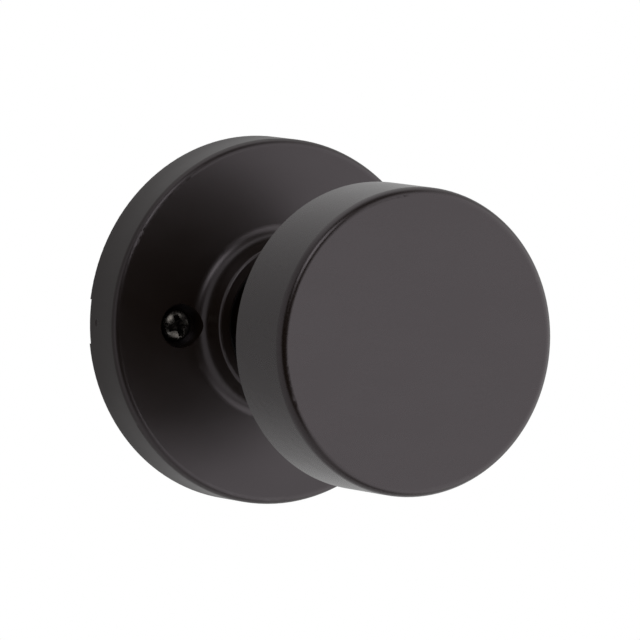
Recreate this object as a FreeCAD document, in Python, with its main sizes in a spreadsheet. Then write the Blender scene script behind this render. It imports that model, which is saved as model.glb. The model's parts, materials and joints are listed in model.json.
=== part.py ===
import FreeCAD, Part

import math
import os
import re

import Sketcher
from FreeCAD import Placement, Rotation, Vector

# Inside half of a round passage door knob, in millimetres.
# World frame: the knob's axis lies along Y, the knob points to -Y (into the room), +Y goes into the
# door and +Z is up. The origin is the centre of the rose's rear face, which lies on the door.
#
# Every piece is drawn in a frame of its own with Z along the knob's axis, 0 at the door's face and
# positive towards the room, X to the right and Y up as seen from the room. TO_WORLD turns it.
TO_WORLD = Rotation(Vector(1, 0, 0), 90)

SIZES = {
    # rose: the round cover on the door, with a raised lip round the shank
    "rose_radius": 33.0,
    "rose_depth": 10.2,
    "rose_wall": 1.5,
    "rose_round": 1.3,
    "rear_break": 0.2,
    "boss_foot": 15.4,
    "boss_tip": 14.65,
    "boss_bore": 12.4,
    "boss_top": 15.8,
    "boss_cove": 2.6,
    "lip_round": 0.6,
    "lip_inner_round": 0.45,
    "notch_half": 4.0,
    "notch_depth": 0.6,
    "notch_rise": 0.6,
    "dimple_floor": 0.4,
    "dimple_depth": 0.18,
    "dimple_slope": 65,
    "dimple_height": 3.4,
    # mounting screws, 39.2 mm apart on the horizontal line through the axis
    "screw_offset": 19.6,
    "screw_sink": 2.8,
    "recess_radius": 4.0,
    "screw_hole": 2.35,
    "post_radius": 5.4,
    "head_radius": 3.0,
    "head_height": 2.2,
    "head_round": 1.2,
    "neck_radius": 1.85,
    "thread_radius": 2.08,
    "thread_front": 0.1,
    "screw_length": 27.1,
    "screw_point": 0.7,
    "cross_reach": 1.95,
    "cross_half": 0.5,
    "cross_depth": 1.5,
    # mounting plate inside the rose
    "plate_radius": 31.2,
    "plate_back": 0.2,
    "plate_front": 1.8,
    "plate_hole": 12.3,
    "window_radius": 16.7,
    "turn_limit": 50.0,
    "arm_half": 8.0,
    "stop_gap": 1.5,
    # spring housing, a pressed cup behind the plate, inside the door's bore
    "flange_radius": 24.5,
    "flange_side": 15.7,
    "housing_sheet": 0.8,
    "cup_radius": 15.5,
    "cup_back": -9.0,
    "cup_round": 1.5,
    "tab_half": 2.2,
    "fixed_tab_inner": 10.8,
    "fixed_tab_outer": 12.2,
    "fixed_tab_front": -1.4,
    "rivet_offset": 20.6,
    "rivet_radius": 1.6,
    "rivet_head": 2.7,
    "rivet_rise": 0.9,
    # bearings and washers on the shank
    "bush_front": 13.0,
    "bush_back": 6.8,
    "bush_flange": 13.4,
    "shank_fit": 0.05,
    "washer_back": 5.95,
    "washer_front": 6.75,
    "washer_bore": 10.55,
    "washer_radius": 13.2,
    "wave_sheet": 0.25,
    "wave_rise": 0.12,
    "wave_width": 1.8,
    "ring_back": 4.3,
    "ring_front": 5.3,
    "ring_seat": 9.8,
    "ring_radius": 12.5,
    "ring_gap_half": 2.6,
    "ear_radius": 1.7,
    "ear_hole": 0.6,
    # shank, the tube that carries the knob
    "shank_radius": 11.0,
    "journal_radius": 10.4,
    "shank_bore": 9.0,
    "shank_back": 2.0,
    "shoulder": 13.1,
    "shank_flange": 17.5,
    "flange_back": 47.6,
    "flange_front": 49.2,
    "tang_half": 3.0,
    "tang_back": -0.2,
    # hub, pins, spindle and clip
    "hub_front": 22.0,
    "tail_radius": 7.0,
    "hub_back": -9.8,
    "rear_bush_radius": 8.4,
    "rear_bush_flange": 10.4,
    "rear_bush_sheet": 0.9,
    "pin_radius": 1.25,
    "pin_height": 8.0,
    "pin_inner": 5.2,
    "pin_outer": 10.2,
    "spindle_half": 3.95,
    "socket_half": 4.0,
    "spindle_front": 25.2,
    "spindle_back": -50.0,
    "spindle_chamfer": 1.4,
    "spindle_edge": 0.4,
    "clip_groove": 3.3,
    "clip_back": 22.1,
    "clip_front": 23.1,
    "clip_radius": 6.8,
    "clip_gap_half": 2.4,
    # cam, keyed to the shank's rear end
    "cam_radius": 12.0,
    "cam_bore": 7.3,
    "cam_back": 0.3,
    "cam_front": 1.9,
    "arm_radius": 16.3,
    "moving_tab_inner": 8.4,
    "moving_tab_outer": 10.0,
    "moving_tab_back": -6.9,
    "slot_play": 0.05,
    "tang_bow": 0.55,
    # torsion spring
    "spring_radius": 13.7,
    "wire_radius": 0.75,
    "spring_back": -7.1,
    "spring_pitch": 1.75,
    "spring_turns": 3.0,
    "leg_inner": 7.8,
    "leg_gap": 0.12,
    "bend_length": 1.6,
    # knob
    "knob_radius": 27.4,
    "knob_back": 46.0,
    "knob_face": 62.7,
    "knob_sheet": 1.0,
    "knob_round": 1.55,
    "knob_break": 0.2,
    "back_plate_inset": 0.35,
    "back_plate_sheet": 1.2,
    "collar_radius": 13.0,
    "collar_rise": 1.2,
    "core_back": 49.2,
    "core_front": 61.6,
    "core_radius": 26.2,
    "core_edge": 0.8,
    "core_hub": 18.5,
    "core_rim": 3.0,
    "core_floor": 2.4,
    "rib_half": 1.3,
    "core_screw_ring": 14.2,
    "core_screw_radius": 1.5,
    "core_screw_head": 2.8,
    "core_screw_head_height": 1.8,
    "core_screw_tip": 46.9,
    "core_screw_seat": 53.0,
}

SCREW_TURN = 17.0       # degrees that the cross recess is turned about its own axis
CORE_SCREWS = 3
CORE_RIBS = 6
WAVES = 3
WAVE_POINTS = 24
ROUND_TOLERANCE = 1e-3

doc = FreeCAD.newDocument("door_knob")
sheet = doc.addObject("Spreadsheet::Sheet", "sizes")
for row, (alias, number) in enumerate(SIZES.items(), start=1):
    sheet.set(f"A{row}", alias)
    sheet.set(f"B{row}", str(number))
    sheet.setAlias(f"B{row}", alias)
doc.recompute()

parts = []


def bound(text):
    """The same expression with each alias written as a cell of the sheet."""
    return re.sub(r"[a-z][a-z_]+", lambda m: f"sizes.{m[0]}" if m[0] in SIZES else m[0], text)


def cell(alias):
    """A size as the sheet holds it."""
    return float(sheet.get(alias))


def finish_part(piece, label):
    """Names a piece, turns it into the world frame and lists it for export."""
    piece.Label = label
    piece.Placement = Placement(Vector(), TO_WORLD)
    parts.append(piece)
    return piece


def new_body(name):
    return doc.addObject("PartDesign::Body", name)


def new_sketch(body, name, role, offset="0"):
    """An empty sketch on one of the body's origin planes, moved along the plane's normal."""
    sketch = body.newObject("Sketcher::SketchObject", name)
    plane = next(feature for feature in body.Origin.OriginFeatures if feature.Role == role)
    sketch.AttachmentSupport = [(plane, "")]
    sketch.MapMode = "FlatFace"
    sketch.setExpression("AttachmentOffset.Base.z", bound(offset))
    return sketch


def pin_point(sketch, geometry, point, place):
    """Holds one point of the sketch at a place given by two expressions."""
    for kind, letter, text in (("DistanceX", "x", place[0]), ("DistanceY", "y", place[1])):
        index = sketch.addConstraint(Sketcher.Constraint(kind, -1, 1, geometry, point, 1.0))
        name = f"{letter}{geometry}"
        sketch.renameConstraint(index, name)
        sketch.setExpression(f"Constraints.{name}", bound(text))


def outline(sketch, corners):
    """A closed run of straight lines through the corners, each corner bound to the sheet."""
    count = len(corners)
    first = sketch.GeometryCount
    turn = 2 * math.pi / count
    start = [Vector(20 + 5 * math.cos(turn * i), 5 * math.sin(turn * i), 0) for i in range(count)]
    for i in range(count):
        sketch.addGeometry(Part.LineSegment(start[i], start[(i + 1) % count]), False)
    for i in range(count):
        after = first + (i + 1) % count
        sketch.addConstraint(Sketcher.Constraint("Coincident", first + i, 2, after, 1))
    for i, corner in enumerate(corners):
        pin_point(sketch, first + i, 1, corner)
    return sketch


def circle(sketch, radius, centre=("0", "0")):
    """A circle whose radius and centre are bound to the sheet."""
    index = sketch.addGeometry(Part.Circle(Vector(), Vector(0, 0, 1), 1.0), False)
    pin_point(sketch, index, 3, centre)
    constraint = sketch.addConstraint(Sketcher.Constraint("Radius", index, 1.0))
    name = f"radius{index}"
    sketch.renameConstraint(constraint, name)
    sketch.setExpression(f"Constraints.{name}", bound(radius))
    return sketch


def box_corners(left, right, low, high):
    return [(left, low), (right, low), (right, high), (left, high)]


def mirrored_pair(sketch, radius, offset):
    """Two equal circles on the X axis, one each side of the centre."""
    circle(sketch, radius, (offset, "0"))
    circle(sketch, radius, (f"-{offset}", "0"))
    return sketch


def mirrored_upright(sketch, radius, offset):
    """Two equal circles on the Y axis, one above and one below the centre."""
    circle(sketch, radius, ("0", offset))
    circle(sketch, radius, ("0", f"-{offset}"))
    return sketch


def turned(body, name, corners, role="XZ_Plane", angle=None):
    """Turns an outline of radius and height about Z, fully or over an angle about its plane."""
    sketch = outline(new_sketch(body, f"{name}_section", role), corners)
    feature = body.newObject("PartDesign::Revolution", name)
    sweep_about_axis(feature, sketch, angle)
    return feature


def turned_cut(body, name, corners, role="XZ_Plane", angle=None):
    sketch = outline(new_sketch(body, f"{name}_section", role), corners)
    feature = body.newObject("PartDesign::Groove", name)
    sweep_about_axis(feature, sketch, angle)
    return feature


def sweep_about_axis(feature, sketch, angle):
    feature.Profile = sketch
    feature.ReferenceAxis = (sketch, ["V_Axis"])
    feature.Angle = 360
    if angle:
        feature.Midplane = True
        feature.setExpression("Angle", bound(angle))
    doc.recompute()


def pad(body, name, sketch, length):
    feature = body.newObject("PartDesign::Pad", name)
    feature.Profile = sketch
    feature.setExpression("Length", bound(length))
    doc.recompute()
    return feature


def pocket(body, name, sketch, length=None, slope=None):
    """Cuts against the sketch's normal, to a depth or right through.

    A slope in degrees makes the cut wider with its depth.
    """
    feature = body.newObject("PartDesign::Pocket", name)
    feature.Profile = sketch
    before = body.Shape.Volume
    if length:
        feature.setExpression("Length", bound(length))
    else:
        feature.Type = "ThroughAll"
    if slope:
        feature.setExpression("TaperAngle", bound(slope))
    doc.recompute()
    if body.Shape.Volume >= before:
        raise RuntimeError(f"{name} cuts nothing")
    return feature


def polar(body, name, feature, count):
    """Repeats a feature round the body's Z axis."""
    axis = next(item for item in body.Origin.OriginFeatures if item.Role == "Z_Axis")
    pattern = body.newObject("PartDesign::PolarPattern", name)
    pattern.Originals = [feature]
    pattern.Axis = (axis, [""])
    pattern.Angle = 360
    pattern.Occurrences = count
    body.Tip = pattern
    doc.recompute()
    return pattern


def rim_edges(shape, radius, height):
    """Names of the circular edges round Z at one radius and height."""
    names = []
    for index, edge in enumerate(shape.Edges, start=1):
        curve = edge.Curve
        if not isinstance(curve, Part.Circle):
            continue
        middle = curve.Center
        off_axis = math.hypot(middle.x, middle.y)
        gaps = (abs(curve.Radius - radius), abs(middle.z - height), off_axis)
        if max(gaps) < ROUND_TOLERANCE:
            names.append(f"Edge{index}")
    return names


def dress(body, kind, name, size, edges):
    """Rounds (Fillet) or bevels (Chamfer) the round edges given as (radius, height) pairs."""
    base = body.Tip
    names = [name_ for radius, height in edges for name_ in rim_edges(base.Shape, radius, height)]
    feature = body.newObject(f"PartDesign::{kind}", name)
    feature.Base = (base, names)
    feature.setExpression("Radius" if kind == "Fillet" else "Size", bound(size))
    doc.recompute()
    return feature


def group(label, bodies):
    """Separate equal solids that share one node."""
    compound = doc.addObject("Part::Compound", label)
    compound.Links = bodies
    doc.recompute()
    return finish_part(compound, label)


def ring(label, bore, radius, back, front):
    """A plain flat ring."""
    body = new_body(label)
    sketch = circle(circle(new_sketch(body, f"{label}_rings", "XY_Plane", back), bore), radius)
    pad(body, f"{label}_blank", sketch, f"{front} - ({back})")
    return body


# ---------------------------------------------------------------- fixed to the door


def rose():
    """Die-cast round cover: rim, flat face, coved lip round the shank and two screw posts."""
    body = new_body("rose")
    inner_face = "rose_depth - rose_wall"
    inner_rim = "rose_radius - rose_wall"
    turned(body, "rose_blank", [
        ("rose_radius", "0"), ("rose_radius", "rose_depth"),
        ("boss_foot", "rose_depth"), ("boss_tip", "boss_top"),
        ("boss_bore", "boss_top"), ("boss_bore", inner_face),
        (inner_rim, inner_face), (inner_rim, "0"),
    ])
    face = cell("rose_depth")
    top = cell("boss_top")
    dress(body, "Fillet", "rim_round", "rose_round", [(cell("rose_radius"), face)])
    dress(body, "Fillet", "boss_root", "boss_cove", [(cell("boss_foot"), face)])
    dress(body, "Fillet", "lip_outside", "lip_round", [(cell("boss_tip"), top)])
    dress(body, "Fillet", "lip_inside", "lip_inner_round", [(cell("boss_bore"), top)])
    dress(body, "Fillet", "rear_edge", "rear_break", [(cell("rose_radius"), 0)])
    posts = new_sketch(body, "post_circles", "XY_Plane", "plate_front")
    pad(body, "screw_posts", mirrored_pair(posts, "post_radius", "screw_offset"),
        f"{inner_face} - plate_front")
    recesses = new_sketch(body, "recess_circles", "XY_Plane", "boss_top")
    pocket(body, "screw_recesses", mirrored_pair(recesses, "recess_radius", "screw_offset"),
           "screw_sink + boss_top - rose_depth")
    holes = new_sketch(body, "hole_circles", "XY_Plane", "boss_top")
    pocket(body, "screw_holes", mirrored_pair(holes, "screw_hole", "screw_offset"))
    notch = new_sketch(body, "notch_outline", "XY_Plane", "notch_depth")
    outline(notch, box_corners("-rose_radius - 1", "1 - rose_radius + rose_wall",
                               "notch_rise - notch_half", "notch_rise + notch_half"))
    pocket(body, "rim_notch", notch)
    dimple = new_sketch(body, "dimple_circle", "YZ_Plane", "dimple_depth - rose_radius")
    pocket(body, "rim_dimple", circle(dimple, "dimple_floor", ("notch_rise", "dimple_height")),
           "2 * dimple_depth", "dimple_slope")
    return finish_part(body, "rose")


def rose_bushing():
    """Nylon bearing for the shank, pressed into the rose's lip from behind."""
    body = new_body("rose_bushing")
    bore = "journal_radius + shank_fit"
    inner_face = "rose_depth - rose_wall"
    turned(body, "bushing_blank", [
        (bore, "bush_back"), ("bush_flange", "bush_back"), ("bush_flange", inner_face),
        ("boss_bore", inner_face), ("boss_bore", "bush_front"), (bore, "bush_front"),
    ])
    return finish_part(body, "rose_bushing")


def thrust_washer():
    body = ring("thrust_washer", "washer_bore", "washer_radius", "washer_back", "washer_front")
    return finish_part(body, "thrust_washer")


def mounting_plate():
    """Steel plate that the rose's posts stand on. Its window stops the cam's arm."""
    body = ring("mounting_plate", "plate_hole", "plate_radius", "plate_back", "plate_front")
    turned_cut(body, "stop_window",
               box_corners("plate_hole - 1", "window_radius", "plate_back - 1", "plate_front + 1"),
               role="YZ_Plane", angle="2 * (turn_limit + arm_half + stop_gap)")
    holes = new_sketch(body, "plate_holes", "XY_Plane", "plate_front")
    mirrored_pair(holes, "screw_hole", "screw_offset")
    mirrored_upright(holes, "rivet_radius", "rivet_offset")
    pocket(body, "fixing_holes", holes)
    return finish_part(body, "mounting_plate")


def spring_housing():
    """Pressed cup with a tab bent up between the spring's legs. Its flange is trimmed off at both
    sides, clear of the screws and their posts, so it holds to the plate by its upper and lower ears."""
    body = new_body("spring_housing")
    floor = "cup_back + housing_sheet"
    inner = "cup_radius - housing_sheet"
    under_flange = "plate_back - housing_sheet"
    turned(body, "cup_blank", [
        ("rear_bush_radius", "cup_back"), ("cup_radius", "cup_back"),
        ("cup_radius", under_flange), ("flange_radius", under_flange),
        ("flange_radius", "plate_back"), (inner, "plate_back"),
        (inner, floor), ("rear_bush_radius", floor),
    ])
    dress(body, "Fillet", "cup_corner", "cup_round", [(cell("cup_radius"), cell("cup_back"))])
    tab = new_sketch(body, "tab_side", "YZ_Plane", "-tab_half")
    outline(tab, box_corners("-fixed_tab_outer", "-fixed_tab_inner", floor, "fixed_tab_front"))
    pad(body, "fixed_tab", tab, "2 * tab_half")
    sides = new_sketch(body, "flange_sides", "XY_Plane", "plate_back")
    outline(sides, box_corners("flange_side", "flange_radius + 1", "-flange_radius", "flange_radius"))
    outline(sides, box_corners("-flange_radius - 1", "-flange_side", "-flange_radius", "flange_radius"))
    pocket(body, "flange_trim", sides)
    holes = new_sketch(body, "flange_holes", "XY_Plane", "plate_back")
    mirrored_upright(holes, "rivet_radius", "rivet_offset")
    pocket(body, "flange_rivet_holes", holes)
    return finish_part(body, "spring_housing")


def rear_bushing():
    """Nylon bearing for the hub's tail, in the housing's floor."""
    body = new_body("rear_bushing")
    bore = "tail_radius + shank_fit"
    back = "cup_back - rear_bush_sheet"
    floor = "cup_back + housing_sheet"
    turned(body, "rear_bushing_blank", [
        (bore, back), ("rear_bush_flange", back), ("rear_bush_flange", "cup_back"),
        ("rear_bush_radius", "cup_back"), ("rear_bush_radius", floor), (bore, floor),
    ])
    return finish_part(body, "rear_bushing")


def housing_rivets():
    """Two rivets that hold the housing's flange under the plate."""
    rivets = []
    under_flange = "plate_back - housing_sheet"
    for side in (1, -1):
        body = new_body("rivet")
        turned(body, "rivet_blank", [
            ("0", f"{under_flange} - rivet_rise"), ("rivet_head", f"{under_flange} - rivet_rise"),
            ("rivet_head", under_flange), ("rivet_radius", under_flange),
            ("rivet_radius", "plate_front"), ("rivet_head", "plate_front"),
            ("rivet_head", "plate_front + rivet_rise"), ("0", "plate_front + rivet_rise"),
        ])
        back = cell("plate_back") - cell("housing_sheet") - cell("rivet_rise")
        front = cell("plate_front") + cell("rivet_rise")
        head = cell("rivet_head")
        dress(body, "Fillet", "rivet_domes", "rivet_rise * 0.8", [(head, back), (head, front)])
        body.setExpression("Placement.Base.y", bound(f"{side} * rivet_offset"))
        rivets.append(body)
    return group("housing_rivets", rivets)


def mounting_screws():
    """Two machine screws with sunk pan heads, a cross recess and a plain neck through the rose."""
    screws = []
    seat = "rose_depth - screw_sink"
    for side in (1, -1):
        body = new_body("screw")
        turned(body, "screw_blank", [
            ("0", f"{seat} - screw_length"), ("thread_radius", f"{seat} - screw_length"),
            ("thread_radius", "thread_front"), ("neck_radius", "thread_front"),
            ("neck_radius", seat), ("head_radius", seat),
            ("head_radius", f"{seat} + head_height"), ("0", f"{seat} + head_height"),
        ])
        low = cell("rose_depth") - cell("screw_sink") - cell("screw_length")
        high = cell("rose_depth") - cell("screw_sink") + cell("head_height")
        dress(body, "Chamfer", "screw_end", "screw_point", [(cell("thread_radius"), low)])
        dress(body, "Fillet", "head_dome", "head_round", [(cell("head_radius"), high)])
        cross = new_sketch(body, "cross_outline", "XY_Plane", f"{seat} + head_height")
        outline(cross, [
            ("cross_reach", "-cross_half"), ("cross_reach", "cross_half"),
            ("cross_half", "cross_half"), ("cross_half", "cross_reach"),
            ("-cross_half", "cross_reach"), ("-cross_half", "cross_half"),
            ("-cross_reach", "cross_half"), ("-cross_reach", "-cross_half"),
            ("-cross_half", "-cross_half"), ("-cross_half", "-cross_reach"),
            ("cross_half", "-cross_reach"), ("cross_half", "-cross_half"),
        ])
        pocket(body, "cross_recess", cross, "cross_depth")
        body.Placement = Placement(Vector(), Rotation(Vector(0, 0, 1), SCREW_TURN))
        body.setExpression("Placement.Base.x", bound(f"{side} * screw_offset"))
        screws.append(body)
    return group("mounting_screws", screws)


def return_spring():
    """Torsion spring: a coil with both ends turned in, one each side of the two tabs."""
    radius = cell("spring_radius")
    wire = cell("wire_radius")
    pitch = cell("spring_pitch")
    aside = cell("tab_half") + wire + cell("leg_gap")
    bend = cell("bend_length")
    reach = math.hypot(radius, bend)
    start = math.atan2(bend, radius) - math.acos(-aside / reach)
    sweep = 2 * math.pi * cell("spring_turns") - math.pi - 2 * start
    rise = pitch * sweep / (2 * math.pi)
    coil = Part.makeHelix(pitch, rise, radius)
    coil.Placement = Placement(Vector(0, 0, cell("spring_back")),
                               Rotation(Vector(0, 0, 1), math.degrees(start)))
    inward = Vector(0, 1, 0)

    def end_of_wire(angle, side):
        """The bend and the leg at one end of the coil: side is -1 at its start and 1 at its end."""
        height = cell("spring_back") + (rise if side > 0 else 0)
        on_coil = Vector(radius * math.cos(angle), radius * math.sin(angle), height)
        along = Vector(-math.sin(angle), math.cos(angle), pitch / (2 * math.pi * radius))
        along.normalize()
        corner = on_coil + along * bend * side
        on_leg = corner + inward * bend
        to_middle = (on_coil + on_leg) / 2 - corner
        half_chord = (on_leg - on_coil).Length / 2
        arc_radius = half_chord * bend / to_middle.Length
        gap = math.hypot(arc_radius, bend) - arc_radius
        crown = corner + to_middle.normalize() * gap
        tip = Vector(on_leg.x, -cell("leg_inner"), on_leg.z)
        arc = Part.Arc(on_coil, crown, on_leg).toShape()
        return arc, Part.LineSegment(on_leg, tip).toShape(), tip

    back_bend, back_leg, back_tip = end_of_wire(start, -1)
    front_bend, front_leg = end_of_wire(start + sweep, 1)[:2]
    edges = [back_leg, back_bend, *coil.Edges, front_bend, front_leg]
    path = Part.Wire(Part.__sortEdges__(edges))
    section = Part.Wire([Part.makeCircle(wire, back_tip, inward)])
    spring = doc.addObject("Part::Feature", "return_spring")
    spring.Shape = path.makePipeShell([section], True, False)
    return finish_part(spring, "return_spring")


# ---------------------------------------------------------------- turns with the knob


def knob_shank():
    """Steel neck tube: flange inside the knob, journal in the bushing, tangs that key the cam."""
    body = new_body("knob_shank")
    turned(body, "shank_blank", [
        ("shank_bore", "shank_back"), ("journal_radius", "shank_back"),
        ("journal_radius", "shoulder"), ("shank_radius", "shoulder"),
        ("shank_radius", "flange_back"), ("shank_flange", "flange_back"),
        ("shank_flange", "flange_front"), ("shank_bore", "flange_front"),
    ])
    turned_cut(body, "ring_groove",
               box_corners("ring_seat", "journal_radius + 1", "ring_back", "ring_front"))
    tangs = new_sketch(body, "tang_circles", "XY_Plane", "tang_back")
    circle(circle(tangs, "shank_bore"), "journal_radius")
    pad(body, "tang_ring", tangs, "shank_back - tang_back")
    gaps = new_sketch(body, "tang_gaps", "XY_Plane", "shank_back")
    outline(gaps, box_corners("-shank_radius", "shank_radius", "tang_half", "shank_radius"))
    outline(gaps, box_corners("-shank_radius", "shank_radius", "-shank_radius", "-tang_half"))
    pocket(body, "tang_sides", gaps)
    holes = new_sketch(body, "pin_circle", "YZ_Plane", "shank_radius")
    pocket(body, "pin_holes", circle(holes, "pin_radius", ("0", "pin_height")))
    screws = new_sketch(body, "flange_screw_circle", "XY_Plane", "flange_front")
    hole = pocket(body, "flange_screw_hole",
                  circle(screws, "core_screw_radius", ("core_screw_ring", "0")),
                  "flange_front - flange_back")
    polar(body, "flange_screw_holes", hole, CORE_SCREWS)
    return finish_part(body, "knob_shank")


def spindle_hub():
    """Die-cast plug in the shank's bore, with a square socket and a round tail."""
    body = new_body("spindle_hub")
    turned(body, "hub_blank", [
        ("0", "hub_back"), ("tail_radius", "hub_back"), ("tail_radius", "shank_back"),
        ("shank_bore", "shank_back"), ("shank_bore", "hub_front"), ("0", "hub_front"),
    ])
    socket = new_sketch(body, "socket_outline", "XY_Plane", "hub_front")
    outline(socket, box_corners("-socket_half", "socket_half", "-socket_half", "socket_half"))
    pocket(body, "spindle_socket", socket)
    holes = new_sketch(body, "hub_pin_circle", "YZ_Plane", "shank_radius")
    pocket(body, "hub_pin_holes", circle(holes, "pin_radius", ("0", "pin_height")))
    return finish_part(body, "spindle_hub")


def hub_pins():
    """Two short pins that lock the hub in the shank."""
    pins = []
    for side in (1, -1):
        pin = doc.addObject("Part::Cylinder", "hub_pin")
        pin.setExpression("Radius", bound("pin_radius"))
        pin.setExpression("Height", bound("pin_outer - pin_inner"))
        pin.Placement = Placement(Vector(), Rotation(Vector(0, 1, 0), 90 * side))
        pin.setExpression("Placement.Base.x", bound(f"{side} * pin_inner"))
        pin.setExpression("Placement.Base.z", bound("pin_height"))
        pins.append(pin)
    return group("hub_pins", pins)


def spindle():
    """Square bar that turns the latch, with a round neck for its clip."""
    body = new_body("spindle")
    bar = new_sketch(body, "bar_outline", "XY_Plane", "spindle_back")
    outline(bar, box_corners("-spindle_half", "spindle_half", "-spindle_half", "spindle_half"))
    blank = pad(body, "bar_blank", bar, "spindle_front - spindle_back")
    back = cell("spindle_back")
    point = body.newObject("PartDesign::Chamfer", "bar_point")
    point.Base = (blank, [f"Edge{index}" for index, edge in enumerate(blank.Shape.Edges, start=1)
                          if edge.BoundBox.ZMax < back + ROUND_TOLERANCE])
    point.setExpression("Size", bound("spindle_chamfer"))
    doc.recompute()
    corner = math.hypot(cell("spindle_half"), cell("spindle_half"))
    corners = body.newObject("PartDesign::Chamfer", "bar_corners")
    corners.Base = (point, [f"Edge{index}" for index, edge in enumerate(point.Shape.Edges, start=1)
                            if math.hypot(*edge.CenterOfMass[:2]) > corner - ROUND_TOLERANCE])
    corners.setExpression("Size", bound("spindle_edge"))
    doc.recompute()
    turned_cut(body, "clip_neck",
               box_corners("clip_groove", "2 * spindle_half", "clip_back", "clip_front"))
    return finish_part(body, "spindle")


def open_ring(label, bore, radius, back, front, gap):
    """A flat ring cut open at the bottom."""
    body = ring(label, bore, radius, back, front)
    slot = new_sketch(body, f"{label}_slot", "XY_Plane", front)
    outline(slot, box_corners(f"-{gap}", gap, f"-{radius} - 1", "0"))
    pocket(body, f"{label}_gap", slot)
    return body


def spindle_clip():
    body = open_ring("spindle_clip", "clip_groove", "clip_radius", "clip_back", "clip_front",
                     "clip_gap_half")
    return finish_part(body, "spindle_clip")


def retaining_ring():
    """Circlip in the shank's groove, with an ear and a plier hole on each side of its gap."""
    body = ring("retaining_ring", "ring_seat", "ring_radius", "ring_back", "ring_front")
    ears = new_sketch(body, "ear_circles", "XY_Plane", "ring_back")
    middle = "(ring_seat + ring_radius) / 2"
    across = "(ring_gap_half + ear_radius)"
    mirror = (across, f"-{across}")
    for side in mirror:
        circle(ears, "ear_radius", (side, f"-sqrt(({middle}) ^ 2 - {across} ^ 2)"))
    pad(body, "ears", ears, "ring_front - ring_back")
    holes = new_sketch(body, "ear_hole_circles", "XY_Plane", "ring_front")
    for side in mirror:
        circle(holes, "ear_hole", (side, f"-sqrt(({middle}) ^ 2 - {across} ^ 2)"))
    pocket(body, "ear_holes", holes)
    slot = new_sketch(body, "ring_slot", "XY_Plane", "ring_front")
    outline(slot, box_corners("-ring_gap_half", "ring_gap_half", "-ring_radius - 2", "0"))
    pocket(body, "ring_gap", slot)
    return finish_part(body, "retaining_ring")


def wave_washer():
    """Thin ring bent into waves, which takes up the knob's end play."""
    inner = cell("washer_bore")
    outer = inner + cell("wave_width")
    middle = (cell("ring_front") + cell("washer_back")) / 2
    lift = cell("wave_rise")
    thick = cell("wave_sheet")

    def wavy_line(radius, height):
        points = []
        for step in range(WAVE_POINTS):
            turn = 2 * math.pi * step / WAVE_POINTS
            rise = height + lift * math.cos(WAVES * turn)
            points.append(Vector(radius * math.cos(turn), radius * math.sin(turn), rise))
        curve = Part.BSplineCurve()
        curve.interpolate(Points=points, PeriodicFlag=True)
        return curve.toShape()

    low = middle - thick / 2
    high = middle + thick / 2
    lines = [wavy_line(*place) for place in ((inner, low), (outer, low), (outer, high), (inner, high))]
    faces = [Part.makeRuledSurface(lines[i], lines[(i + 1) % 4]) for i in range(4)]
    shell = Part.makeShell(faces)
    shell.sewShape()
    solid = Part.makeSolid(shell)
    if solid.Volume < 0:
        solid.reverse()
    washer = doc.addObject("Part::Feature", "wave_washer")
    washer.Shape = solid
    return finish_part(washer, "wave_washer")


def drive_cam():
    """Stamped cam on the shank's tangs: an arm for the stops and a tab for the spring."""
    body = ring("drive_cam", "cam_bore", "cam_radius", "cam_back", "cam_front")
    turned(body, "stop_arm", box_corners("cam_radius - 1", "arm_radius", "cam_back", "cam_front"),
           role="YZ_Plane", angle="2 * arm_half")
    tab = new_sketch(body, "moving_tab_side", "YZ_Plane", "-tab_half")
    outline(tab, box_corners("-moving_tab_outer", "-moving_tab_inner",
                             "moving_tab_back", "(cam_back + cam_front) / 2"))
    pad(body, "moving_tab", tab, "2 * tab_half")
    slots = new_sketch(body, "tang_slots", "XY_Plane", "cam_front")
    near = "shank_bore - slot_play - tang_bow"
    far = "journal_radius + slot_play"
    half = "tang_half + slot_play"
    outline(slots, box_corners(near, far, f"-({half})", half))
    outline(slots, box_corners(f"-({far})", f"-({near})", f"-({half})", half))
    pocket(body, "tang_slot_pair", slots)
    return finish_part(body, "drive_cam")


def knob_shell():
    """Drawn cap: flat face, straight wall and a sharp rear rim."""
    body = new_body("knob_shell")
    inner = "knob_radius - knob_sheet"
    under_face = "knob_face - knob_sheet"
    turned(body, "shell_blank", [
        ("knob_radius", "knob_back"), ("knob_radius", "knob_face"), ("0", "knob_face"),
        ("0", under_face), (inner, under_face), (inner, "knob_back"),
    ])
    radius, wall = cell("knob_radius"), cell("knob_sheet")
    back, face = cell("knob_back"), cell("knob_face")
    dress(body, "Fillet", "face_round", "knob_round", [(radius, face)])
    dress(body, "Fillet", "inner_round", "knob_round - knob_sheet", [(radius - wall, face - wall)])
    dress(body, "Fillet", "rear_edges", "knob_break", [(radius, back), (radius - wall, back)])
    return finish_part(body, "knob_shell")


def knob_back_plate():
    """Disc that closes the shell, with a short collar round the shank."""
    body = new_body("knob_back_plate")
    back = "knob_back + back_plate_inset"
    front = "knob_back + back_plate_inset + back_plate_sheet"
    turned(body, "back_blank", [
        ("shank_radius", f"{back} - collar_rise"), ("collar_radius", f"{back} - collar_rise"),
        ("collar_radius", back), ("knob_radius - knob_sheet", back),
        ("knob_radius - knob_sheet", front), ("shank_radius", front),
    ])
    level = cell("knob_back") + cell("back_plate_inset")
    top = level - cell("collar_rise")
    dress(body, "Fillet", "collar_cove", "collar_rise * 0.7", [(cell("collar_radius"), level)])
    dress(body, "Fillet", "collar_edge", "collar_rise * 0.25", [(cell("collar_radius"), top)])
    holes = new_sketch(body, "back_screw_circle", "XY_Plane", front)
    hole = pocket(body, "back_screw_hole",
                  circle(holes, "core_screw_radius", ("core_screw_ring", "0")),
                  f"{front} - core_screw_tip")
    polar(body, "back_screw_holes", hole, CORE_SCREWS)
    return finish_part(body, "knob_back_plate")


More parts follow.
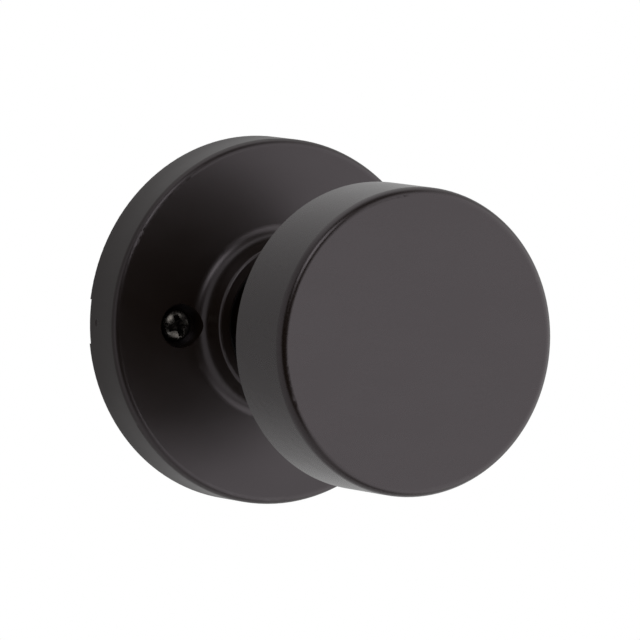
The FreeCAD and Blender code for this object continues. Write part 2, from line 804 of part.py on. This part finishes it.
def knob_core():
    """Die-cast drum that fills the shell: hub, rim, floor and ribs between them."""
    body = new_body("knob_core")
    turned(body, "core_blank", [
        ("0", "core_back"), ("core_radius", "core_back"),
        ("core_radius", "core_front"), ("0", "core_front"),
    ])
    dress(body, "Chamfer", "core_front_edge", "core_edge",
          [(cell("core_radius"), cell("core_front"))])
    hollow = new_sketch(body, "hollow_circles", "XY_Plane", "core_front")
    circle(circle(hollow, "core_hub"), "core_radius - core_rim")
    pocket(body, "ring_hollow", hollow, "core_front - core_back - core_floor")
    rib_line = new_sketch(body, "rib_outline", "XY_Plane", "core_back + core_floor / 2")
    outline(rib_line, box_corners("core_hub - 1", "core_radius - core_rim / 2",
                                  "-rib_half", "rib_half"))
    rib = pad(body, "rib", rib_line, "core_front - core_back - core_floor / 2")
    polar(body, "ribs", rib, CORE_RIBS)
    seats = new_sketch(body, "screw_seat_circle", "XY_Plane", "core_front")
    seat = pocket(body, "screw_seat",
                  circle(seats, "core_screw_head * 1.1", ("core_screw_ring", "0")),
                  "core_front - core_screw_seat")
    polar(body, "screw_seats", seat, CORE_SCREWS)
    holes = new_sketch(body, "core_screw_circle", "XY_Plane", "core_screw_seat")
    hole = pocket(body, "core_screw_hole",
                  circle(holes, "core_screw_radius", ("core_screw_ring", "0")))
    polar(body, "core_screw_holes", hole, CORE_SCREWS)
    return finish_part(body, "knob_core")


def core_screws():
    """Three screws that clamp the shank's flange between the core and the back plate."""
    screws = []
    for number in range(CORE_SCREWS):
        body = new_body("core_screw")
        head_top = "core_screw_seat + core_screw_head_height"
        turned(body, "core_screw_blank", [
            ("0", "core_screw_tip"), ("core_screw_radius", "core_screw_tip"),
            ("core_screw_radius", "core_screw_seat"), ("core_screw_head", "core_screw_seat"),
            ("core_screw_head", head_top), ("0", head_top),
        ])
        top = cell("core_screw_seat") + cell("core_screw_head_height")
        dress(body, "Fillet", "core_screw_dome", "core_screw_head_height * 0.5",
              [(cell("core_screw_head"), top)])
        turn = 360 * number / CORE_SCREWS
        body.setExpression("Placement.Base.x", bound(f"core_screw_ring * cos({turn}deg)"))
        body.setExpression("Placement.Base.y", bound(f"core_screw_ring * sin({turn}deg)"))
        screws.append(body)
    return group("core_screws", screws)


def check_document():
    """Stops if any object failed to recompute, or a piece has no sound shape."""
    for item in doc.Objects:
        if "Invalid" in item.State or "Error" in item.State:
            raise RuntimeError(f"{item.Name} ({item.Label}) is {item.State}")
    for piece in parts:
        if piece.Shape.isNull() or not piece.Shape.isValid() or piece.Shape.Volume <= 0:
            raise RuntimeError(f"{piece.Label} has no sound shape")


def write_parts():
    os.makedirs("parts", exist_ok=True)
    for piece in parts:
        piece.Shape.exportStep(os.path.join("parts", f"{piece.Label}.step"))
        solids = len(piece.Shape.Solids)
        print(f"{piece.Label}: {piece.Shape.Volume:.0f} mm3 in {solids} solid(s)")


PIECES = (
    rose, rose_bushing, thrust_washer, mounting_plate, spring_housing, rear_bushing,
    housing_rivets, mounting_screws, return_spring,
    knob_shank, spindle_hub, hub_pins, spindle, spindle_clip, retaining_ring, wave_washer,
    drive_cam, knob_shell, knob_back_plate, knob_core, core_screws,
)
for make_piece in PIECES:
    make_piece()
doc.recompute()
check_document()
write_parts()
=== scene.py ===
import json
import math

import bpy
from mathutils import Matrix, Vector


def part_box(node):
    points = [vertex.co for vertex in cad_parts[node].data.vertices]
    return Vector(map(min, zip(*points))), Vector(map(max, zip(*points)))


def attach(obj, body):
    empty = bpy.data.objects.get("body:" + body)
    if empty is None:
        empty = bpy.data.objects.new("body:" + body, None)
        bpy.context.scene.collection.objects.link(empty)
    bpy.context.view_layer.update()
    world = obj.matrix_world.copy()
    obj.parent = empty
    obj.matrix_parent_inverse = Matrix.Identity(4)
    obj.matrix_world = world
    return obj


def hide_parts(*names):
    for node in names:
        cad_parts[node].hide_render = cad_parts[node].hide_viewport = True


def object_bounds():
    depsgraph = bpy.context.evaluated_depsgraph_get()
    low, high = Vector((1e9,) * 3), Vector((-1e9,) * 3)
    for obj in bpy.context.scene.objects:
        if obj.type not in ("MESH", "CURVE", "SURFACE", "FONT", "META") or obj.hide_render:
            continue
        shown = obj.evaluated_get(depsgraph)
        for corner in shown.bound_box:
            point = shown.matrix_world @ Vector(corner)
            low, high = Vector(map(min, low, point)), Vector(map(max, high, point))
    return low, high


# A round satin black door knob: the inside half of a passage set. All lengths are in metres. The
# knob points to -Y, +Y goes into the door, +Z is up, and the origin is the centre of the rose's
# rear face.

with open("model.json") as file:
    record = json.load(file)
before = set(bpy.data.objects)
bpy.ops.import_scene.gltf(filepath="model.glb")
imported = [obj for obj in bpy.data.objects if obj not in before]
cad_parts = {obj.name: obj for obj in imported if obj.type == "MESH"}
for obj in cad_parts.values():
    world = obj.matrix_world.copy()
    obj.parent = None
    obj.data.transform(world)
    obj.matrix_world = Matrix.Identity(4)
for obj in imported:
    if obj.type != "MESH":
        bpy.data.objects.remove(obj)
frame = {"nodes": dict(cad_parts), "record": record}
cad_low, cad_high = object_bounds()
MM = 0.001


# ---------------------------------------------------------------- node trees


# Most of a noise's values lie between these.
NOISE_LOW = 0.3
NOISE_HIGH = 0.7

SOCKETS = {
    "base_color": "Base Color",
    "metallic": "Metallic",
    "roughness": "Roughness",
    "ior": "IOR",
    "specular_tint": "Specular Tint",
    "subsurface_weight": "Subsurface Weight",
    "subsurface_scale": "Subsurface Scale",
    "normal": "Normal",
}


class Nodes:
    """Short calls for building one node tree."""

    def __init__(self, tree):
        self.tree = tree
        tree.nodes.clear()

    def add(self, kind, inputs=None, **settings):
        """A node with its settings. Each input is a value or the socket that feeds it."""
        node = self.tree.nodes.new(kind)
        for key, value in settings.items():
            setattr(node, key, value)
        for key, value in (inputs or {}).items():
            if isinstance(value, bpy.types.NodeSocket):
                self.tree.links.new(value, node.inputs[key])
            else:
                node.inputs[key].default_value = value
        return node

    def ramp(self, value, low, high, out_low=0.0, out_high=1.0):
        """A smooth step of a value from one range to another."""
        node = self.add("ShaderNodeMapRange", interpolation_type="SMOOTHSTEP",
                        inputs={0: value, 1: low, 2: high, 3: out_low, 4: out_high})
        return node.outputs[0]

    def spread(self, noise, out_low, out_high):
        """A noise's usual range, smoothly stretched over another one."""
        return self.ramp(noise, NOISE_LOW, NOISE_HIGH, out_low, out_high)

    def math(self, operation, first, second):
        node = self.add("ShaderNodeMath", operation=operation, inputs={0: first, 1: second})
        return node.outputs[0]

    def sum(self, first, first_share, second, second_share):
        """Two values added up by their shares."""
        return self.math("ADD", self.math("MULTIPLY", first, first_share),
                         self.math("MULTIPLY", second, second_share))

    def blend(self, share, first, second):
        """Mixes two colours, each given as three numbers or as a socket."""
        sides = [side if isinstance(side, bpy.types.NodeSocket) else (*side, 1.0)
                 for side in (first, second)]
        node = self.add("ShaderNodeMixRGB", inputs={0: share, 1: sides[0], 2: sides[1]})
        return node.outputs[0]

    def place(self, stretch=(1.0, 1.0, 1.0)):
        """Object coordinates, with each axis multiplied by its stretch."""
        spot = self.add("ShaderNodeTexCoord").outputs["Object"]
        node = self.add("ShaderNodeMapping", inputs={"Vector": spot, "Scale": stretch})
        return node.outputs[0]

    def noise(self, scale, detail=2.0, stretch=(1.0, 1.0, 1.0), roughness=0.5):
        """Soft noise from 0 to 1. Scale is in features per metre."""
        node = self.add("ShaderNodeTexNoise", inputs={
            "Vector": self.place(stretch), "Scale": scale, "Detail": detail,
            "Roughness": roughness})
        return node.outputs[0]

    def bump(self, height, depth, strength):
        """Surface relief: depth in metres for a height that goes from 0 to 1."""
        node = self.add("ShaderNodeBump", inputs={
            "Strength": strength, "Distance": depth, "Height": height})
        return node.outputs[0]

    def finish(self, **inputs):
        """A Principled shader with these inputs, joined to the output."""
        shader = self.add("ShaderNodeBsdfPrincipled",
                          inputs={SOCKETS[key]: value for key, value in inputs.items()})
        self.add("ShaderNodeOutputMaterial", inputs={"Surface": shader.outputs[0]})


def new_material(name):
    material = bpy.data.materials.new(name)
    material.use_nodes = True
    return material, Nodes(material.node_tree)


# ---------------------------------------------------------------- camera, light and floor


CAMERA_AZIMUTH = -28.21
CAMERA_ELEVATION = 4.54
CAMERA_DISTANCE = 2.0
CAMERA_LENS = 630.6
# The point that the camera looks at: in front of the door, then sideways and up in its view.
AIM_DEPTH = 30.0 * MM
AIM_RIGHT = -1.713 * MM
AIM_UP = 1.707 * MM

FLOOR_DROP = 0.36
FLOOR_RADIUS = 0.28
FLOOR_BACK = 0.10
FLOOR_SIDES = 96

WHITE = (1.0, 1.0, 1.0, 1.0)
WALL_LIGHT = 0.74
BACKDROP_LIGHT = 1.0


def direction(azimuth, elevation):
    """Unit vector from the object towards a viewer at that azimuth and elevation, in degrees."""
    a = math.radians(azimuth)
    e = math.radians(elevation)
    return Vector((math.sin(a) * math.cos(e), -math.cos(a) * math.cos(e), math.sin(e)))


# Soft regions of the studio: direction, inner and outer half angle in degrees, and how much light
# each adds to the plain walls or takes away. The gaps are the unlit room round the camera.
STUDIO_REGIONS = {
    "right_softbox": (direction(47, -4), 37, 61, 1.26),
    "camera_gap": (direction(-21, 6), 34, 40, -2.0),
    "high_gap": (direction(12, 55), 8, 39, -0.95),
    "low_gap": (direction(25, -73), 6, 22, -0.8),
    "key_light": (direction(-18, 32), 6, 19, 5.4),
    "rear_left": (direction(-165, -12), 15, 54, -0.3),
    "ceiling": (direction(143, 83), 5, 50, 0.65),
    "floor_bounce": (direction(158, -74), 8, 60, 0.35),
    "rear_right": (direction(150, -16), 4, 22, 0.12),
}


def make_camera():
    back = direction(CAMERA_AZIMUTH, CAMERA_ELEVATION)
    right = direction(CAMERA_AZIMUTH + 90, 0)
    up = back.cross(right)
    aim = Vector((0.0, -AIM_DEPTH, 0.0)) + right * AIM_RIGHT + up * AIM_UP
    data = bpy.data.cameras.new("camera")
    data.lens = CAMERA_LENS
    camera = bpy.data.objects.new("camera", data)
    bpy.context.scene.collection.objects.link(camera)
    camera.location = aim + back * CAMERA_DISTANCE
    camera.rotation_mode = "QUATERNION"
    camera.rotation_quaternion = (-back).to_track_quat("-Z", "Y")
    bpy.context.scene.camera = camera


def make_world():
    """A pale studio: plain walls with a few soft brighter and darker regions."""
    world = bpy.data.worlds.new("studio")
    world.use_nodes = True
    bpy.context.scene.world = world
    nodes = Nodes(world.node_tree)
    around = nodes.add("ShaderNodeTexCoord").outputs["Generated"]
    light = WALL_LIGHT
    for towards, inner, outer, amount in STUDIO_REGIONS.values():
        dot = nodes.add("ShaderNodeVectorMath", operation="DOT_PRODUCT",
                        inputs={0: around, 1: tuple(towards)}).outputs["Value"]
        edge = math.cos(math.radians(outer))
        core = math.cos(math.radians(inner))
        light = nodes.math("ADD", light, nodes.ramp(dot, edge, core, 0.0, amount))
    strength = nodes.math("MAXIMUM", light, 0.0)
    walls = nodes.add("ShaderNodeBackground", inputs={"Color": WHITE, "Strength": strength})
    seen = nodes.add("ShaderNodeBackground",
                     inputs={"Color": WHITE, "Strength": BACKDROP_LIGHT})
    path = nodes.add("ShaderNodeLightPath")
    mix = nodes.add("ShaderNodeMixShader", inputs={
        0: path.outputs["Is Camera Ray"], 1: walls.outputs[0], 2: seen.outputs[0]})
    nodes.add("ShaderNodeOutputWorld", inputs={"Surface": mix.outputs[0]})


def make_floor():
    """A round sheet of pale paper, low down and mostly behind the object."""
    level = cad_low.z - FLOOR_DROP
    rim = []
    for i in range(FLOOR_SIDES):
        turn = 2 * math.pi * i / FLOOR_SIDES
        x = FLOOR_RADIUS * math.cos(turn)
        y = FLOOR_BACK + FLOOR_RADIUS * math.sin(turn)
        rim.append((x, y, level))
    mesh = bpy.data.meshes.new("floor")
    mesh.from_pydata(rim, [], [tuple(range(FLOOR_SIDES))])
    floor = bpy.data.objects.new("floor", mesh)
    bpy.context.scene.collection.objects.link(floor)
    paper, nodes = new_material("paper_floor")
    shade = nodes.blend(nodes.noise(3.0), (0.93, 0.93, 0.93), (0.96, 0.96, 0.96))
    nodes.finish(base_color=shade, roughness=0.9)
    mesh.materials.append(paper)


# ---------------------------------------------------------------- materials


# What the black coat reflects head on, and the darker tint of the reflections on the rose's rim,
# which is painted shade for the dimmer light that reaches the rim's wall.
COAT_TINT = (1.0, 0.912, 0.985)
RIM_SHADE_TINT = (0.50, 0.45, 0.485)
# How much rougher the dry coat is at the front, and how much more than that at the door.
RIM_DULLING = 0.06
REAR_DULLING = 0.08
# The dry coat fades in over the outermost part of the rose, together with the rim's painted shade,
# and gets duller between these depths.
RIM_FADE = 0.3 * MM
RIM_FRONT = -8.0 * MM
RIM_REAR = -1.0 * MM
# The rim starts a little inside the rose's full radius, so that its whole wall is past the fade.
RIM_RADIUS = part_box("rose")[1].x - 0.05 * MM


def black_paint(name, smooth, rough, shaded_dry_rim=None):
    """Satin black coat with fine orange peel, a slightly uneven gloss and faint handling marks.

    Roughness goes from smooth to rough. Past the radius shaded_dry_rim the coat is thin, dry and
    duller, and more so towards the door, where the spray reached least. There its reflections are
    also tinted darker, which is painted shade.
    """
    material, nodes = new_material(name)
    cloud = nodes.noise(90.0, detail=3.0)
    smear = nodes.noise(60.0, detail=4.0, stretch=(1.0, 1.0, 2.4), roughness=0.6)
    peel = nodes.noise(1500.0)
    grit = nodes.noise(7000.0, detail=1.0)
    color = nodes.blend(cloud, (0.0044, 0.0022, 0.0009), (0.0056, 0.0029, 0.0014))
    relief = nodes.math("ADD", peel, nodes.math("MULTIPLY", grit, 0.35))
    dull = nodes.spread(nodes.sum(smear, 0.6, grit, 0.4), smooth, rough)
    tint = (*COAT_TINT, 1.0)
    if shaded_dry_rim:
        flat = nodes.add("ShaderNodeVectorMath", operation="LENGTH",
                         inputs={0: nodes.place((1.0, 0.0, 1.0))}).outputs["Value"]
        depth = nodes.add("ShaderNodeSeparateXYZ", inputs={0: nodes.place()}).outputs["Y"]
        thin = nodes.ramp(depth, RIM_FRONT, RIM_REAR, RIM_DULLING, RIM_DULLING + REAR_DULLING)
        dry_and_shaded = nodes.ramp(flat, shaded_dry_rim - RIM_FADE, shaded_dry_rim)
        dull = nodes.math("ADD", dull, nodes.math("MULTIPLY", dry_and_shaded, thin))
        # Painted shade: the rim's reflections are tinted darker than the rest of the coat.
        tint = nodes.blend(dry_and_shaded, COAT_TINT, RIM_SHADE_TINT)
    nodes.finish(base_color=color, roughness=dull, ior=1.5, specular_tint=tint,
                 normal=nodes.bump(relief, 0.04 * MM, 0.12))
    return material


def black_oxide():
    """Blackened steel: dark and glossy, rubbed brighter in patches, with fine turning marks."""
    material, nodes = new_material("black_oxide")
    patches = nodes.ramp(nodes.noise(900.0, detail=4.0, roughness=0.65), 0.52, 0.72)
    grime = nodes.noise(2600.0, detail=3.0)
    color = nodes.blend(grime, (0.055, 0.050, 0.046), (0.095, 0.088, 0.080))
    color = nodes.blend(nodes.math("MULTIPLY", patches, 0.55), color, (0.34, 0.32, 0.30))
    relief = nodes.math("ADD", grime, patches)
    nodes.finish(base_color=color, metallic=1.0, roughness=nodes.spread(grime, 0.22, 0.38),
                 normal=nodes.bump(relief, 0.02 * MM, 0.35))
    return material


def plated_steel():
    """Bright zinc plate on pressed sheet: fine rolling lines, cloudy passivation, small pits."""
    material, nodes = new_material("plated_steel")
    lines = nodes.noise(900.0, detail=4.0, stretch=(0.06, 1.0, 2.4), roughness=0.7)
    cloud = nodes.noise(110.0, detail=4.0)
    pits = nodes.ramp(nodes.noise(2400.0, detail=2.0), 0.66, 0.74)
    color = nodes.blend(nodes.ramp(cloud, 0.35, 0.65), (0.50, 0.51, 0.53), (0.59, 0.585, 0.55))
    streaks = nodes.ramp(lines, 0.48, 0.68, 0.0, 0.5)
    color = nodes.blend(streaks, color, (0.33, 0.33, 0.34))
    color = nodes.blend(nodes.math("MULTIPLY", pits, 0.6), color, (0.22, 0.21, 0.20))
    gloss = nodes.spread(nodes.sum(lines, 0.6, cloud, 0.4), 0.24, 0.42)
    relief = nodes.math("SUBTRACT", lines, pits)
    nodes.finish(base_color=color, metallic=1.0, roughness=gloss,
                 normal=nodes.bump(relief, 0.02 * MM, 0.25))
    return material


def spring_steel():
    """Oil-tempered wire and strip: dark grey-brown with a thin uneven oil film."""
    material, nodes = new_material("spring_steel")
    film = nodes.noise(260.0, detail=4.0, roughness=0.6)
    scratch = nodes.noise(1800.0, detail=3.0, stretch=(1.0, 5.0, 1.0))
    color = nodes.blend(film, (0.20, 0.18, 0.16), (0.33, 0.32, 0.32))
    nodes.finish(base_color=color, metallic=1.0, roughness=nodes.spread(film, 0.22, 0.40),
                 normal=nodes.bump(scratch, 0.02 * MM, 0.3))
    return material


def cast_zinc():
    """As-cast zinc: dull grey with a fine grain, flow marks and darker pores."""
    material, nodes = new_material("cast_zinc")
    grain = nodes.noise(3200.0, detail=3.0)
    flow = nodes.noise(140.0, detail=5.0, stretch=(1.0, 0.4, 1.0), roughness=0.6)
    pores = nodes.ramp(nodes.noise(1500.0, detail=2.0), 0.64, 0.72)
    color = nodes.blend(flow, (0.36, 0.37, 0.39), (0.52, 0.53, 0.54))
    color = nodes.blend(nodes.math("MULTIPLY", pores, 0.6), color, (0.16, 0.16, 0.16))
    relief = nodes.math("SUBTRACT", grain, nodes.math("MULTIPLY", pores, 0.8))
    nodes.finish(base_color=color, metallic=1.0, roughness=nodes.spread(grain, 0.42, 0.56),
                 normal=nodes.bump(relief, 0.05 * MM, 0.4))
    return material


def spindle_steel():
    """Cold drawn bar, zinc plated and slightly yellow, with lines along its length."""
    material, nodes = new_material("spindle_steel")
    lines = nodes.noise(2600.0, detail=4.0, stretch=(1.0, 0.012, 1.0), roughness=0.7)
    cloud = nodes.noise(130.0, detail=4.0)
    color = nodes.blend(nodes.ramp(cloud, 0.35, 0.65), (0.51, 0.47, 0.37), (0.45, 0.44, 0.40))
    color = nodes.blend(nodes.ramp(lines, 0.45, 0.7, 0.0, 0.45), color, (0.28, 0.27, 0.24))
    nodes.finish(base_color=color, metallic=1.0, roughness=nodes.spread(lines, 0.22, 0.38),
                 normal=nodes.bump(lines, 0.03 * MM, 0.4))
    return material


def nylon(name, dark, light, glow):
    """Moulded nylon with a faint mould texture. Glow is how much light goes into it."""
    material, nodes = new_material(name)
    grain = nodes.noise(2200.0, detail=3.0)
    cloud = nodes.noise(150.0, detail=2.0)
    nodes.finish(base_color=nodes.blend(cloud, dark, light), subsurface_weight=glow,
                 subsurface_scale=1.0 * MM, roughness=nodes.spread(grain, 0.38, 0.52),
                 normal=nodes.bump(grain, 0.03 * MM, 0.3))
    return material


MATERIALS = {
    "black_paint": black_paint("black_paint", 0.25, 0.30),
    "black_oxide": black_oxide(),
    "plated_steel": plated_steel(),
    "spring_steel": spring_steel(),
    "cast_zinc": cast_zinc(),
    "spindle_steel": spindle_steel(),
    "nylon": nylon("nylon", (0.70, 0.66, 0.55), (0.80, 0.77, 0.68), 0.25),
    "black_nylon": nylon("black_nylon", (0.008, 0.008, 0.009), (0.013, 0.013, 0.014), 0.0),
}
# Nodes whose finish differs from their slot's: the cast rose has a rougher coat than the knob, and
# painted shade on its rim.
OWN_MATERIALS = {
    "rose": black_paint("black_paint_cast", 0.30, 0.35, shaded_dry_rim=RIM_RADIUS),
}


def paint_nodes():
    for entry in frame["record"]["subparts"]:
        node = entry["node"]
        mesh = frame["nodes"][node].data
        mesh.materials.clear()
        mesh.materials.append(OWN_MATERIALS.get(node, MATERIALS[entry["material_slot"]]))


# ---------------------------------------------------------------- screws


# An 8-32 machine screw. Distances along it are from the top of its head.
SCREW_DOME = 1.5 * MM
SCREW_SEAT = 2.2 * MM
SCREW_NECK = 1.85 * MM
HEAD_BREAK = 0.12 * MM
NECK_BREAK = 0.10 * MM
# How far the head and the crests stay inside the CAD screw.
HEAD_INSET = 0.05 * MM
CREST_INSET = 0.01 * MM
# The thread starts this far in front of the door face.
THREAD_FRONT = 0.1 * MM
THREAD_PITCH = 0.794 * MM
THREAD_ROOT = 1.62 * MM
THREAD_TIP = 1.35 * MM
# Over 1, the flanks meet their crest early, which leaves it flat.
CREST_FLAT = 1.25
# Growth of the thread's radius along the screw where it runs out at the neck.
THREAD_RUN_IN = 0.8

# Cross recess: half length and half width of a wing, where the webs between the wings start,
# and the depth. Each level is a distance along the screw and the share of the full outline there.
WING_REACH = 2.1 * MM
WING_HALF = 0.55 * MM
WEB_START = 1.0 * MM
RECESS_DEPTH = 1.9 * MM
RECESS_LEVELS = ((-0.6 * MM, 1.12), (0.15 * RECESS_DEPTH, 1.0), (RECESS_DEPTH, 0.45))
RECESS_TURN = math.radians(17)

AROUND = 72
THREAD_STEPS = 10
DOME_STEPS = 20
SHARP = math.radians(32)


def thread_radius(along, turn, crest):
    """Radius of a 60 degree thread with a flat crest, at a distance along and a turn of 0 to 1."""
    phase = (along / THREAD_PITCH - turn) % 1.0
    height = 1.0 - abs(2.0 * phase - 1.0)
    return THREAD_ROOT + (crest - THREAD_ROOT) * min(1.0, height * CREST_FLAT)


def screw_mesh(head, crest, start, end):
    """One screw along +Y with its head's top at 0: dome, side, seat, neck, thread and point.

    Head and crest are radii; the thread runs from start to end.
    """
    rings = []
    for step in range(1, DOME_STEPS + 1):
        tilt = math.pi / 2 * step / DOME_STEPS
        rings.append((SCREW_DOME * (1 - math.cos(tilt)), [head * math.sin(tilt)] * AROUND))
    rings += [(along, [radius] * AROUND) for along, radius in (
        (SCREW_SEAT - HEAD_BREAK, head),
        (SCREW_SEAT, head - HEAD_BREAK),
        (SCREW_SEAT, SCREW_NECK + NECK_BREAK),
        (SCREW_SEAT + NECK_BREAK, SCREW_NECK),
    )]
    count = round((end - start) / THREAD_PITCH * THREAD_STEPS)
    for step in range(count + 1):
        along = start + (end - start) * step / count
        limit = min(THREAD_ROOT + (along - start) * THREAD_RUN_IN, THREAD_TIP + (end - along))
        rings.append((along, [min(thread_radius(along, i / AROUND, crest), limit)
                              for i in range(AROUND)]))

    verts = [(0.0, 0.0, 0.0)]
    for along, radii in rings:
        for i, radius in enumerate(radii):
            turn = 2 * math.pi * i / AROUND
            verts.append((radius * math.cos(turn), along, radius * math.sin(turn)))
    verts.append((0.0, end, 0.0))
    faces = [(0, 1 + i, 1 + (i + 1) % AROUND) for i in range(AROUND)]
    for ring in range(len(rings) - 1):
        a = 1 + ring * AROUND
        b = a + AROUND
        for i in range(AROUND):
            j = (i + 1) % AROUND
            faces.append((a + i, b + i, b + j, a + j))
    last = len(verts) - 1
    tail = last - AROUND
    faces += [(tail + (i + 1) % AROUND, tail + i, last) for i in range(AROUND)]
    mesh = bpy.data.meshes.new("screw")
    mesh.from_pydata(verts, [], faces)
    return mesh


def recess_mesh():
    """Cutter for a cross recess: four wings joined by slanting webs, tapering to a small floor."""
    corners = ((WING_REACH, -WING_HALF), (WING_REACH, WING_HALF),
               (WEB_START, WING_HALF), (WING_HALF, WEB_START))
    verts = []
    for level, share in RECESS_LEVELS:
        for quarter in range(4):
            turn = math.pi / 2 * quarter
            for ahead, side in corners:
                x = (ahead * math.cos(turn) - side * math.sin(turn)) * share
                z = (ahead * math.sin(turn) + side * math.cos(turn)) * share
                verts.append((x, level, z))
    count = 4 * len(corners)
    faces = [tuple(range(count)), tuple(reversed(range(2 * count, 3 * count)))]
    for base in (0, count):
        for i in range(count):
            j = (i + 1) % count
            faces.append((base + j, base + i, base + count + i, base + count + j))
    mesh = bpy.data.meshes.new("recess")
    mesh.from_pydata(verts, [], faces)
    return mesh


def cut_mesh(mesh, cutter):
    """The first mesh with the second one taken out of it."""
    pair = []
    for data in (mesh, cutter):
        item = bpy.data.objects.new(data.name, data)
        bpy.context.scene.collection.objects.link(item)
        pair.append(item)
    modifier = pair[0].modifiers.new("recess", "BOOLEAN")
    modifier.operation = "DIFFERENCE"
    modifier.solver = "EXACT"
    modifier.object = pair[1]
    graph = bpy.context.evaluated_depsgraph_get()
    result = bpy.data.meshes.new_from_object(pair[0].evaluated_get(graph))
    for item in pair:
        bpy.data.objects.remove(item)
    return result


def mounting_screws():
    """Two screws in one piece: domed head sunk in the rose, plain neck, thread behind it."""
    low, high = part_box("mounting_screws")
    mounts = {mount["name"]: mount for mount in frame["record"]["mounts"]}
    dims = mounts["mounting_screws"]["dims"]
    offset = dims["pcd_mm"] / 2 * MM
    crest = dims["stud_r_mm"] * MM - CREST_INSET
    screw = screw_mesh(high.z - HEAD_INSET, crest, -THREAD_FRONT - low.y, high.y - low.y)
    mesh = cut_mesh(screw, recess_mesh())
    verts = []
    faces = []
    for side in (-1, 1):
        first = len(verts)
        for vert in mesh.vertices:
            x = vert.co.x * math.cos(RECESS_TURN) - vert.co.z * math.sin(RECESS_TURN)
            z = vert.co.x * math.sin(RECESS_TURN) + vert.co.z * math.cos(RECESS_TURN)
            verts.append((side * offset + x, low.y + vert.co.y, z))
        for face in mesh.polygons:
            faces.append([first + index for index in face.vertices])
    joined = bpy.data.meshes.new("mounting_screws_detail")
    joined.from_pydata(verts, [], faces)
    joined.polygons.foreach_set("use_smooth", [True] * len(joined.polygons))
    joined.set_sharp_from_angle(angle=SHARP)
    joined.materials.append(MATERIALS["black_oxide"])
    piece = bpy.data.objects.new("mounting_screws_detail", joined)
    bpy.context.scene.collection.objects.link(piece)
    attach(piece, "root")
    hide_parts("mounting_screws")


make_camera()
make_world()
make_floor()
paint_nodes()
mounting_screws()
bpy.context.scene.view_settings.view_transform = "Standard"
